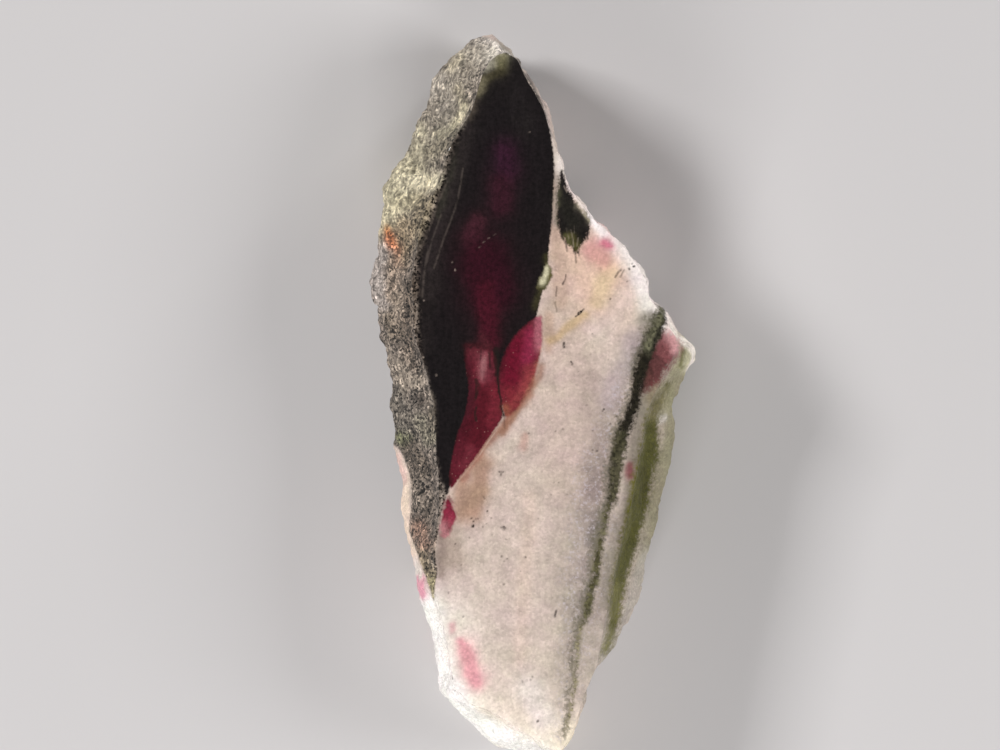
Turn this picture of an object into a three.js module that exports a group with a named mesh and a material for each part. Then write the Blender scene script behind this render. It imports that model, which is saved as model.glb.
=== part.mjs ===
// A slab of eudialyte-bearing syenite: polished flat in front, sawn flat behind, broken all round.
// Millimetres. It lies on its sawn back: x is its width, y its length with the tip at +y, z its thickness.
// The origin is under the middle of the slab, on the surface that it lies on.

import * as THREE from 'three';
import { ImprovedNoise } from 'three/addons/math/ImprovedNoise.js';

const THICKNESS = 14;
const RIM_HEIGHT = 6.8; // the widest line round the stone, above the back
const RIM_WANDER = 2; // how far that line climbs and falls, in long waves
const BACK_INSET = 0.12; // part of the way from the rim to the spine at which the sawn back ends
const BACK_INSET_WANDER = 0.09; // the back has broken off further in at some places than at others

const SPOKE_SPACING = 0.85; // along the rim
const FRONT_LEVELS = 9; // from the face down to the rim
const BACK_LEVELS = 8; // from the rim down to the back

const SCALLOPS = { size: 8, height: 2.4 }; // broad hollows where pieces broke away
const LUMPS = { size: 3.3, height: 1.2, sunk: 0.2 }; // lumps of the broken flanks
const PITS = { size: 1.6, height: 0.36 }; // grains and pits on them
const RIM_CALM = { share: 0.22, reach: 3.6 }; // near the rim there is only a share of all this
const EDGE_WANDER = 0.14; // small nicks along the edge of the polished face

// The step down beside the face on the right flank, deepest where the olive layer has broken away.
const LEDGE = { top: 5, bottom: -25, fade: 7, drop: 1.5, reach: 0.14 };
// Elsewhere the polish ends in a narrow rounded arris.
const ARRIS = { drop: 0.25, reach: 0.06, roughness: 0.25 };
// How the flanks fall from the face to the rim, and go in from the rim to the back: 1 is a
// straight slope, more is rounder. The slopes are those at the two edges, in radians.
const FLANK_ROUNDNESS = 1.45;
const FACE_SLOPE = 0.7;
const BACK_ROUNDNESS = 2;
const BACK_SLOPE = 0.3;

// The outline, clockwise from the tip as seen from the front. Each row is a point on the edge of
// the polished face and the point of the rim beside it: [face x, face y, rim x, rim y].
const OUTLINE = [
  // tip and the right edge of the black end
  [-2.1, 29.0, -3.3, 30.8],
  [-1.2, 28.5, -1.6, 29.7],
  [-0.5, 27.1, -0.3, 27.8],
  [1.0, 24.3, 1.4, 24.9],
  [2.0, 21.0, 2.2, 21.4],
  [3.3, 17.6, 3.5, 17.8],
  // the white shoulder
  [5.0, 15.2, 5.3, 15.5],
  [7.2, 13.3, 7.5, 13.5],
  [9.0, 11.1, 9.3, 11.2],
  [9.7, 9.9, 10.0, 9.9],
  [9.8, 8.6, 10.1, 8.5],
  [10.7, 7.4, 11.4, 7.7],
  // the pale green corner
  [12.0, 5.3, 12.7, 5.7],
  [12.1, 4.6, 13.9, 4.4],
  [11.7, 3.5, 14.0, 3.4],
  [10.4, 0.9, 12.6, 0.8],
  // the olive right flank
  [9.8, -0.4, 12.0, -0.5],
  [9.5, -1.8, 12.3, -1.9],
  [8.8, -5.8, 11.8, -6.0],
  [8.3, -8.3, 11.1, -8.6],
  [7.1, -13.3, 10.0, -13.6],
  [6.1, -18.5, 8.6, -18.8],
  [5.7, -20.7, 7.5, -21.2],
  [5.4, -22.3, 6.0, -22.9],
  [4.7, -24.0, 5.0, -24.5],
  [3.4, -27.9, 3.7, -28.5],
  // the blunt foot
  [2.5, -29.2, 2.6, -30.4],
  [1.1, -28.8, 0.6, -30.8],
  [-2.0, -26.8, -3.3, -29.4],
  [-3.5, -25.9, -4.8, -27.8],
  // the cream lower left flank
  [-5.3, -25.3, -6.3, -26.2],
  [-6.5, -24.0, -7.9, -24.4],
  [-7.1, -20.0, -8.5, -20.0],
  [-7.6, -17.9, -9.1, -17.9],
  [-8.1, -15.8, -9.8, -15.8],
  // the dark grainy left flank
  [-8.0, -11.7, -10.6, -11.7],
  [-7.7, -9.6, -11.0, -9.5],
  [-7.6, -7.5, -10.9, -7.6],
  [-7.8, -5.2, -11.4, -5.3],
  [-8.0, -0.3, -12.1, -0.4],
  [-8.4, 1.3, -11.9, 1.3],
  [-9.6, 4.8, -12.8, 5.0],
  [-9.8, 6.8, -13.0, 7.1],
  // the pale lumps of the upper left flank
  [-9.7, 8.5, -13.7, 8.7],
  [-9.9, 10.2, -13.9, 10.1],
  [-9.6, 12.0, -13.1, 12.0],
  [-8.5, 16.5, -12.8, 16.6],
  [-7.6, 18.1, -12.6, 18.4],
  [-7.2, 19.3, -11.9, 19.6],
  [-6.8, 20.8, -10.6, 20.9],
  [-6.1, 22.3, -10.1, 22.5],
  [-5.0, 24.0, -9.4, 24.5],
  [-4.0, 27.2, -7.9, 28.1],
  [-3.5, 28.2, -6.7, 29.3],
  [-2.8, 28.8, -5.0, 30.0],
];

// The middle line of the stone, bending towards the tip.
const SPINE = { x: 0, bendY: 5, tipX: -3.3, tipY: 30.8 };

const noise = new ImprovedNoise();

function lerp(a, b, t) {
  return a + (b - a) * t;
}

function smoothstep(from, to, value) {
  const t = Math.min(Math.max((value - from) / (to - from), 0), 1);
  return t * t * (3 - 2 * t);
}

function spineX(y) {
  return SPINE.x + (SPINE.tipX - SPINE.x) * smoothstep(SPINE.bendY, SPINE.tipY, y);
}

// Cuts each stretch of the outline into spokes of about equal spacing along the rim.
function makeSpokes() {
  const spokes = [];
  OUTLINE.forEach((row, i) => {
    const next = OUTLINE[(i + 1) % OUTLINE.length];
    const length = Math.hypot(next[2] - row[2], next[3] - row[3]);
    const count = Math.max(1, Math.round(length / SPOKE_SPACING));
    for (let j = 0; j < count; j++) {
      const [faceX, faceY, rimX, rimY] = row.map((value, k) => lerp(value, next[k], j / count));
      spokes.push({ face: new THREE.Vector2(faceX, faceY), rim: new THREE.Vector2(rimX, rimY) });
    }
  });
  spokes.forEach((spoke, i) => {
    const before = spokes[(i - 1 + spokes.length) % spokes.length].rim;
    const after = spokes[(i + 1) % spokes.length].rim;
    spoke.outward = new THREE.Vector2(before.y - after.y, after.x - before.x).normalize();
    spoke.rimZ = RIM_HEIGHT + RIM_WANDER * 2 * noiseOf(15, 3.3, spoke.rim.x, spoke.rim.y, 0);
  });
  return spokes;
}

// How deep and how wide the step beside the face is at a spoke.
function stepBeside(spoke) {
  const { x, y } = spoke.face;
  const upper = 1 - smoothstep(LEDGE.top - LEDGE.fade, LEDGE.top, y);
  const lower = smoothstep(LEDGE.bottom, LEDGE.bottom + LEDGE.fade / 2, y);
  const share = x > 0 ? upper * lower : 0;
  return {
    drop: lerp(ARRIS.drop, LEDGE.drop, share),
    reach: lerp(ARRIS.reach, LEDGE.reach, share),
  };
}

function noiseOf(size, seed, x, y, z) {
  return noise.noise(x / size + seed, y / size + seed * 1.7, z / size + seed * 0.6);
}

// The broken surface lies this far outside its smooth form. It mostly lies inside, so that the
// highest lumps still keep to the outline.
function roughness({ x, y, z }) {
  const scallops = -Math.abs(noiseOf(SCALLOPS.size, 4.2, x, y, z));
  const lumps = noiseOf(LUMPS.size, 7.3, x, y, z) - LUMPS.sunk;
  const pits = noiseOf(PITS.size, 1.9, x, y, z);
  return SCALLOPS.height * scallops + LUMPS.height * lumps + PITS.height * pits;
}

// Moves a point of a flank along its outward slope by the roughness there.
function roughen(point, spoke, slope, amount) {
  const fromRim = Math.abs(point.z - spoke.rimZ);
  const share = lerp(RIM_CALM.share, 1, smoothstep(0, RIM_CALM.reach, fromRim));
  const out = roughness(point) * share * amount;
  const level = Math.cos(slope) * out;
  const { x, y } = spoke.outward;
  return [point.x + x * level, point.y + y * level, point.z + Math.sin(slope) * out];
}

// A point of the edge of the polished face, nicked within its plane.
function faceEdge({ x, y }) {
  const nick = EDGE_WANDER * noiseOf(PITS.size, 5.5, x, y, THICKNESS);
  return [x + nick, y + nick, THICKNESS];
}

// Where the sawn back ends beside a spoke.
function backEdge(spoke) {
  const { x, y } = spoke.rim;
  const inset = BACK_INSET + BACK_INSET_WANDER * 2 * noiseOf(8, 3.1, x, y, 0);
  return new THREE.Vector2(lerp(x, spineX(y), inset), lerp(y, y * 0.94, inset));
}

// The points of one spoke, from the edge of the face down to the edge of the back.
function spokePoints(spoke) {
  const { face, rim, rimZ } = spoke;
  const step = stepBeside(spoke);
  const points = [faceEdge(face)];

  for (let level = 1; level <= FRONT_LEVELS; level++) {
    const down = (level - 1) / (FRONT_LEVELS - 1);
    const out = lerp(step.reach, 1, 1 - Math.pow(1 - down, FLANK_ROUNDNESS));
    const point = new THREE.Vector3(
      lerp(face.x, rim.x, out),
      lerp(face.y, rim.y, out),
      lerp(THICKNESS - step.drop, rimZ, down),
    );
    const amount = lerp(ARRIS.roughness, 1, smoothstep(0, 0.35, down));
    points.push(roughen(point, spoke, FACE_SLOPE * (1 - down), amount));
  }

  const back = backEdge(spoke);
  for (let level = 1; level <= BACK_LEVELS; level++) {
    const down = level / BACK_LEVELS;
    const inward = Math.pow(down, BACK_ROUNDNESS);
    const point = new THREE.Vector3(
      lerp(rim.x, back.x, inward),
      lerp(rim.y, back.y, inward),
      lerp(rimZ, 0, down),
    );
    const slope = level < BACK_LEVELS ? -BACK_SLOPE * down : 0;
    points.push(roughen(point, spoke, slope, 1 - down / 2));
  }
  return points;
}

// Closes a flat face over a ring of points; the ring runs clockwise as seen from above.
function capTriangles(ring, firstIndex, stride, facesUp) {
  const contour = ring.map(([x, y]) => new THREE.Vector2(x, y));
  return THREE.ShapeUtils.triangulateShape(contour, []).flatMap((triangle) => {
    const [a, b, c] = triangle.map((corner) => contour[corner]);
    const turn = (b.x - a.x) * (c.y - a.y) - (b.y - a.y) * (c.x - a.x);
    const ordered = turn > 0 === facesUp ? triangle : [...triangle].reverse();
    return ordered.map((corner) => firstIndex + corner * stride);
  });
}

function stoneGeometry() {
  const spokes = makeSpokes().map(spokePoints);
  const levels = spokes[0].length;
  const indices = [];

  spokes.forEach((points, i) => {
    const here = i * levels;
    const next = ((i + 1) % spokes.length) * levels;
    for (let level = 0; level + 1 < levels; level++) {
      const [a, b, c, d] = [here + level, next + level, here + level + 1, next + level + 1];
      indices.push(...((i + level) % 2 ? [a, b, c, b, d, c] : [a, b, d, a, d, c]));
    }
  });

  const faceRing = spokes.map((points) => points[0]);
  const backRing = spokes.map((points) => points[levels - 1]);
  indices.push(...capTriangles(faceRing, 0, levels, true));
  indices.push(...capTriangles(backRing, levels - 1, levels, false));

  const geometry = new THREE.BufferGeometry();
  geometry.setAttribute('position', new THREE.Float32BufferAttribute(spokes.flat(2), 3));
  geometry.setIndex(indices);
  geometry.computeVertexNormals();
  return geometry;
}

const stoneMaterial = new THREE.MeshStandardMaterial({
  color: '#cdc3b8',
  roughness: 0.55,
  metalness: 0,
});

const stone = new THREE.Mesh(stoneGeometry(), stoneMaterial);
stone.name = 'eudialyte_slab';

const group = new THREE.Group();
group.name = 'polished_eudialyte';
group.add(stone);

export default group;
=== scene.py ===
import math

import bpy
import numpy as np
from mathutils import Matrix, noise


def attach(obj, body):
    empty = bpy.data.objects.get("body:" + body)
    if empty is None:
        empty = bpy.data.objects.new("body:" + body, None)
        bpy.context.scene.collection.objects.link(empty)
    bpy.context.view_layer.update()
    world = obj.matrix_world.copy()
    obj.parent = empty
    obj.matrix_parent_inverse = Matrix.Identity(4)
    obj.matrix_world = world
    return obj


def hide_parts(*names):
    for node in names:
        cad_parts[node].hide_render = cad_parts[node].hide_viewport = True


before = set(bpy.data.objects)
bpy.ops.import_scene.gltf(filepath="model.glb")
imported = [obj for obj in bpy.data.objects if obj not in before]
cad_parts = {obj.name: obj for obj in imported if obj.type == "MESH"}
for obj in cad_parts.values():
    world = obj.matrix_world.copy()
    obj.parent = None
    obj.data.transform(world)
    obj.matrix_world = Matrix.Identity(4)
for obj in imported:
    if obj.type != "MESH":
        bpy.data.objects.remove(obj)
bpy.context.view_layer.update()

MM = 0.001


# ---------------------------------------------------------------- sizes and layout, in millimetres

THICKNESS = 14.0
MESH_STEP = 0.235

# Points this near to the face or the back are laid flat on it.
FLAT_BAND = 0.3
# Away from both flats the broken relief grows to full over this height, and stays inside them.
BROKEN_BAND = 0.5
INSET = 0.03

# Relief of the broken sides: how wide the lumps and grains are, and how far they rise and sink.
LUMP_WIDTH = 1.7
GRAIN_WIDTH = 0.6
COARSE_LUMPS = 1.0
COARSE_GRAINS = 0.34
SUGARY_LUMPS = 0.42
SUGARY_GRAINS = 0.3

# How far the tip's right shoulder moves left and down, and its peak up.
SHOULDER_IN = 0.3
SHOULDER_DOWN = 0.12
PEAK_UP = 0.22

# Below this height the mineral layers dip: their shift in x and y per mm of depth, and its wander.
DIP_START = 6.2
DIP = (0.16, -0.1)
DIP_WANDER = 0.22

# The vein's olive fringe is the vein's own path, moved by this much.
FRINGE_LEFT = 0.36
FRINGE_UP = 0.06

# The stone's own map. The top, seen from above, fills its left. The underside lies at the lower
# right, turned on its side, and the steep sides above it in four rows. Scales are map widths per mm.
# What leans up or down by more than FACES_UP belongs to the top or to the underside.
TOP_SCALE = 0.0156
UNDER_SCALE = 0.0084
EDGE_SCALE = 0.0114
HALF_WIDTH = 14.1
HALF_LENGTH = 30.9
MAP_MARGIN = 0.01
RIGHT_COLUMN = 0.466
END_COLUMN = 0.832
FIRST_ROW = 0.255
ROW_STEP = 0.17
FACES_UP = 0.35

# Roughness of the sides and of the face, and the step of the saw marks on the back.
DULL = 0.75
POLISHED = 0.16
SAW_MARK_STEP = 1.9635

# The camera's height above the face, the width of its view there (1000 pixels, 12 per mm), and
# the middle of the view.
EYE_HEIGHT = 500.0
VIEW_WIDTH = 1000 / 12
VIEW_X = -2.625
VIEW_Y = 2.083

# Steps in which a vertex group holds weights, the width of finer mesh round each fine mark, and
# a distance beyond everything.
GROUP_STEPS = 20
MARK_MARGIN = 0.2
FAR = 1e9

# Outlines of the mineral zones in the plan of the polished face, (x, y).
DARK_ROCK = [
    (-4.5, 31), (-2.4, 29.6), (-1.6, 29.2), (-1, 28.7), (-0.8, 27.8), (0.2, 26.3), (0.9, 24.8),
    (1.4, 23.2), (1.7, 21.5), (1.9, 20), (1.9, 18.5), (1.8, 16.7), (1.7, 14.5), (1.5, 13.2), (1.4, 12.2),
    (1.4, 11.3), (1.1, 9.7), (0.8, 8.7), (0.5, 7.3), (0.2, 5.7), (-0.3, 4), (-0.8, 2.3), (-1.5, 0.7),
    (-2.6, -0.8), (-3.3, -2.3), (-4.3, -3.8), (-5.5, -5.3), (-6.5, -6.7), (-7, -7.8), (-7.5, -9.2),
    (-7.7, -10.8), (-8.1, -12.8), (-7.8, -14.2), (-8.1, -15.7), (-8.1, -17.2), (-8.5, -15.7),
    (-9.3, -13.6), (-10, -11.9), (-10.4, -11), (-10, -8.3), (-10.2, -6.4), (-10.8, -4.7), (-11.5, -3.8),
    (-13.5, -2.5), (-14.7, 10), (-12.6, 20), (-9.3, 27.5), (-6.4, 31.2),
]
BLACK_PATCH = [
    (2.4, 19.3), (2.7, 18.7), (2.9, 18), (3.3, 17.2), (3.7, 16.5), (4.3, 15.8), (4.9, 15.2), (5, 14.7),
    (4.8, 13.9), (4.5, 13.2), (4, 12.5), (3.6, 12.1), (3.3, 12.6), (2.9, 13.1), (2.5, 13.7), (2.2, 14.3),
    (2.1, 15.4), (2.1, 16.7), (2.2, 18),
]
NOTCH_CRYSTAL = [
    (1.2, 11.6), (1.6, 11.2), (1.8, 10.5), (1.5, 9.8), (1, 9), (0.4, 9.2), (0.5, 9.9), (0.9, 10.5),
    (1, 11.1),
]
LEFT_CRYSTAL = [
    (-5.6, 4.2), (-5.4, 4.4), (-5, 4.2), (-4.8, 4.6), (-4.5, 4.2), (-4.2, 4.5), (-3.9, 4.1), (-3.6, 4.5),
    (-3.3, 4.1), (-3, 3.8), (-2.8, 3.2), (-2.9, 2), (-2.7, 0.7), (-2.5, -0.3), (-2.3, -1.3), (-2.9, -2.2),
    (-3.7, -3.3), (-4.4, -4.4), (-5.3, -5.6), (-6.2, -6.7), (-6.7, -7.5), (-6.9, -7), (-6.8, -5.7),
    (-6.5, -4.2), (-6.2, -2.7), (-5.6, -1.5), (-5.4, -0.3), (-5.2, 0.7), (-5.3, 1.6), (-5.5, 2.7),
    (-5.6, 3.5),
]
RIGHT_CRYSTAL = [
    (0.9, 7.2), (0.2, 6.8), (-0.5, 6.2), (-1.1, 5.7), (-1.7, 4.9), (-2.1, 4.2), (-2.5, 3.2), (-2.8, 2),
    (-2.7, 0.7), (-2.5, -0.3), (-2.3, -1.3), (-2, -1.5), (-1.5, -1.2), (-0.8, -0.3), (-0.2, 0.6),
    (0.2, 1.4), (0.4, 2.5), (0.7, 3.5), (0.9, 4.6), (0.9, 5.8),
]
SMALL_CRYSTAL = [
    (-6.9, -7.8), (-6.6, -8.3), (-6.5, -9), (-6.2, -9.8), (-6.5, -10.5), (-6.8, -11.1), (-7.1, -11.5),
    (-7.5, -11.5), (-7.7, -10.7), (-7.5, -9.6), (-7.3, -8.8),
]
BLOTCH = [
    (11, 6), (11.8, 5.5), (12.5, 4.8), (12.5, 4.1), (12, 3.3), (11.5, 2.6), (10.9, 1.8), (10.2, 1),
    (9.5, 0.6), (8.8, 0.5), (8.8, 1.7), (9.1, 2.8), (9.5, 3.9), (10.2, 5),
]
# Dark vein, olive band and the dusting beside the vein: rows of (x, y, half width).
VEIN = [
    (11, 7.6, 0.3), (10.7, 6.7, 0.58), (10.4, 5.8, 0.58), (10, 5, 0.61), (9.5, 3.6, 0.58), (9, 2.2, 0.5),
    (8.8, 0.8, 0.43), (8.5, -0.5, 0.47), (8, -1.8, 0.53), (7.5, -3.2, 0.58), (7.2, -4.6, 0.57),
    (7, -5.9, 0.52), (6.9, -6.7, 0.48), (6.8, -7.5, 0.45), (6.7, -8.3, 0.42), (6.3, -9.4, 0.27),
    (6.1, -10.4, 0.29), (5.8, -11.7, 0.27), (5.7, -12.3, 0.27), (5.5, -13.5, 0.33), (5.4, -14.6, 0.33),
    (5, -15.8, 0.33), (4.8, -17, 0.37), (4.7, -17.8, 0.32), (4, -19.3, 0.13), (3.8, -21.2, 0.13),
    (3.6, -24.2, 0.13), (2.9, -27.8, 0.13),
]
OLIVE_BAND = [
    (11.4, 1.2, 0.25), (10.9, 0.2, 0.38), (10.3, -1, 0.5), (10, -2.2, 0.67), (10, -3.3, 0.79),
    (9.9, -4.6, 0.88), (9.5, -5.8, 0.92), (9.2, -7.5, 0.96), (9, -8.8, 0.96), (8.7, -9.8, 0.88),
    (8.4, -11, 0.88), (8, -12.8, 0.78), (7.5, -14.5, 0.7), (7.2, -16.2, 0.67), (7, -18, 0.55),
    (6.7, -19.8, 0.47), (6.2, -21.2, 0.32),
]
VEIN_HALO = [
    (8.9, 4.6, 0.42), (8.1, 2.3, 0.67), (7.5, 0.7, 0.92), (6.7, -1.7, 1.17), (6, -3.7, 1.5),
    (5.5, -5.8, 1.83), (5.3, -7.9, 2.08), (5, -10, 2.08), (4.7, -12.1, 1.75), (4.4, -14.2, 1.83),
    (4.1, -16.7, 1.83), (3.9, -19.2, 1.5), (3.5, -21.7, 1.17), (3, -25, 0.92), (2.5, -27.9, 0.75),
]
# Cracks and dashes of dark mineral: (points, half width, strength).
DARK_MARKS = [
    ([(-2.96, 4.17), (-2.88, 2.5), (-2.79, 1.42)], 0.25, 0.55),
    ([(-2.88, 4), (-2.83, 1.5)], 0.11, 0.85),
    ([(2.21, 16), (2.29, 14.83)], 0.07, 0.45),
    ([(2.38, 14.83), (2.54, 13.5)], 0.07, 0.7),
    ([(2.83, 13.25), (3, 12.42)], 0.08, 0.75),
    ([(3.62, 12.33), (3.71, 11.5)], 0.08, 0.7),
    ([(3.96, 12.5), (4, 12)], 0.07, 0.6),
    ([(-2.88, 1.83), (-2.73, 0.83), (-2.54, -0.17), (-2.35, -1.33)], 0.08, 1),
    ([(-2.33, -1.33), (-2.21, -2.33)], 0.07, 0.45),
    ([(-4.58, 1.67), (-4.54, 1.08), (-4.67, 0.08)], 0.14, 0.7),
    ([(-4.38, 1.33), (-4.29, 0.83)], 0.07, 0.5),
    ([(-4.67, -0.58), (-4.71, -1.08), (-4.62, -1.75)], 0.1, 0.8),
    ([(-4.21, 4.25), (-4.25, 3.33)], 0.07, 0.6),
    ([(-3.62, 4), (-3.46, 2.83)], 0.07, 0.6),
    ([(3.67, 7), (3.96, 7.2)], 0.07, 1),
    ([(3.88, 7.17), (4.12, 7.35)], 0.13, 1),
    ([(4.08, 7.29), (4.38, 7.6)], 0.07, 1),
    ([(2.88, 10.42), (2.62, 9.58)], 0.07, 0.9),
    ([(2.08, 9.5), (2.04, 8.67)], 0.07, 0.6),
    ([(2, 8.17), (2.08, 7.33)], 0.07, 0.45),
    ([(-2.75, -5.96), (-2.38, -5.92)], 0.07, 0.8),
    ([(-2.58, -6.08), (-2.54, -6.25)], 0.07, 0.9),
    ([(-2.31, -10.58), (-2.21, -10.72)], 0.12, 1),
    ([(-2.58, -10.61), (-2.29, -10.65)], 0.06, 0.6),
    ([(-2.54, -10.62), (-2.29, -10.83)], 0.13, 0.35),
    ([(2.04, -17.58), (2.04, -18.08)], 0.08, 0.85),
    ([(7, 10.25), (7.21, 10.67), (7.46, 10.88)], 0.09, 0.65),
    ([(7.38, 10.33), (7.71, 10.83)], 0.07, 0.5),
    ([(-4.04, -8.08), (-3.88, -8.33)], 0.07, 0.6),
    ([(10.38, 3.67), (10.62, 3.33)], 0.12, 0.35),
    ([(10.96, 3.17), (11.21, 2.83)], 0.12, 0.35),
    ([(9.88, 2.58), (10.12, 2.17)], 0.14, 0.3),
    ([(2.71, 4.75), (2.71, 4.42)], 0.1, 0.95),
    ([(3.33, 3.25), (3.5, 3.04), (3.42, 2.92)], 0.08, 0.95),
]
# Tiny black mineral specks in the pale rock: (x, y, radius, strength).
SPECKS = [
    (5.04, 5.5, 0.07, 0.6), (6.54, 8.42, 0.1, 1), (8.54, 11.12, 0.1, 1), (8.38, 11.33, 0.07, 0.7),
    (8.12, 10.88, 0.09, 0.9), (7.96, 9.92, 0.07, 0.7), (-4.88, -10.54, 0.14, 1),
    (-4.88, -10.17, 0.07, 0.9), (-5.04, -9.92, 0.07, 0.8), (-4.67, -9.96, 0.07, 0.8),
    (-4.46, -9.92, 0.07, 0.7), (-3.67, -9.33, 0.08, 0.9), (-3.33, -9.83, 0.07, 0.6),
    (-4.12, -10.58, 0.07, 0.6), (-5.12, -11.5, 0.07, 0.5), (-6.33, -11.96, 0.07, 0.8),
    (-2.46, -13.08, 0.08, 0.7), (-2.04, -13.25, 0.07, 0.7), (-2.29, -13.42, 0.07, 0.5),
    (-0.46, -13.08, 0.08, 0.7), (-5.79, -13.75, 0.08, 0.6), (-2.29, -15.33, 0.1, 0.55),
    (-6.92, -16.04, 0.07, 0.8), (0.58, -9.92, 0.07, 0.5), (1.88, -6.88, 0.07, 0.5),
    (2.29, -6.96, 0.07, 0.6), (1.62, -7.83, 0.07, 0.5), (3, -7.83, 0.07, 0.5), (-1.29, -8, 0.07, 0.4),
    (4.04, -9.08, 0.07, 0.4), (-2.12, -11.58, 0.07, 0.5), (0.54, -26.75, 0.12, 0.8),
    (0.04, -23.08, 0.08, 0.7), (-0.71, -23.5, 0.08, 0.6), (-0.12, -23.33, 0.07, 0.5),
    (7.96, 0.33, 0.07, 0.7), (6.04, -0.75, 0.09, 0.9), (5.92, -0.92, 0.07, 0.8), (7.12, -1.42, 0.07, 0.8),
    (6.54, -2.04, 0.07, 0.8), (5.46, -4.25, 0.08, 0.8), (5.12, -4.17, 0.07, 0.7),
    (1.96, -2.58, 0.07, 0.6), (2.62, -2.5, 0.08, 0.5), (4.62, -0.42, 0.07, 0.6), (5.12, -2.5, 0.08, 0.6),
    (-0.21, -2.75, 0.08, 0.95), (-5.71, -18.08, 0.07, 0.6), (3.54, -17.67, 0.07, 0.5),
    (3.71, -15.33, 0.07, 0.5), (3.21, -15.83, 0.07, 0.4), (2.96, -17.08, 0.06, 0.4),
    (8.62, -2.33, 0.07, 0.5), (6.04, -5.58, 0.07, 0.5), (-0.92, -14.25, 0.07, 0.4),
    (1.29, -13.33, 0.07, 0.4), (-3.71, -10.33, 0.07, 0.5), (-3.29, -11.25, 0.07, 0.4),
    (6.38, 3.33, 0.07, 0.4), (4.88, 3.75, 0.07, 0.4), (3.88, 2.33, 0.07, 0.4), (5.71, 1.67, 0.07, 0.4),
    (2.79, 1, 0.07, 0.4),
]
# Pale hairlines, painted glints and painted edge highlights: (points, half width, strength).
PALE_MARKS = [
    ([
        (-5.71, 19.33), (-5.88, 18.17), (-6.21, 16.42), (-6.71, 15), (-7.29, 13.5), (-7.79, 12),
        (-8.12, 11),
    ], 0.08, 0.06),
    ([(-7.04, 18.17), (-7.88, 16.25), (-8.38, 14.58), (-8.96, 13.17)], 0.09, 0.05),
    ([(3.29, 14.17), (3.46, 13.33), (3.5, 12.75)], 0.05, 0.26),
    ([(2.88, 14.33), (3.12, 13.42)], 0.04, 0.2),
    ([(3.88, 13.5), (3.79, 12.83)], 0.04, 0.22),
    ([(3.54, 14.5), (3.58, 13.92)], 0.03, 0.16),
    ([(-8.62, 12.5), (-8.96, 10.42), (-9.12, 8.5)], 0.1, 0.06),
    ([(-7.54, 15.42), (-8.29, 13.33), (-8.71, 11.5)], 0.07, 0.05),
    ([(4.12, 16), (4.62, 15.25)], 0.06, 0.35),
    ([(2.71, 17.83), (2.96, 17.33)], 0.05, 0.35),
    # Painted glints, a dotted line of them.
    ([(-4.38, 12.71), (-4.25, 12.79)], 0.05, 0.13),
    ([(-4.04, 13.12), (-3.92, 13.21)], 0.05, 0.17),
    ([(-3.62, 13.47), (-3.5, 13.52)], 0.04, 0.18),
    ([(-3.21, 13.7), (-2.96, 13.85)], 0.04, 0.13),
    # A painted highlight along the left crystal's lower edge.
    ([(-2.88, -2.5), (-3.62, -3.5), (-4.31, -4.58)], 0.03, 0.55),
    ([(-4.31, -4.58), (-5.21, -5.71), (-6.12, -6.79), (-6.75, -7.67)], 0.03, 0.27),
    ([(-6.96, -8.08), (-6.58, -8.67), (-6.33, -9.33), (-6.17, -9.83)], 0.05, 0.4),
    # Painted glints, single dots.
    ([(-6.38, 10.88), (-6.35, 10.8)], 0.05, 0.5),
    ([(-6.62, 11.5), (-6.59, 11.45)], 0.04, 0.3),
    ([(-9, 8.33), (-8.96, 8.29)], 0.05, 0.6),
    ([(-9.04, 3.58), (-9.01, 3.55)], 0.05, 0.6),
    ([(-7.96, 2.12), (-7.92, 2.05)], 0.07, 0.5),
    ([(-0.46, -11.5), (-0.42, -11.67)], 0.09, 1),
    ([(-0.21, 22.33), (-0.12, 22.33)], 0.04, 0.4),
]
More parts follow.
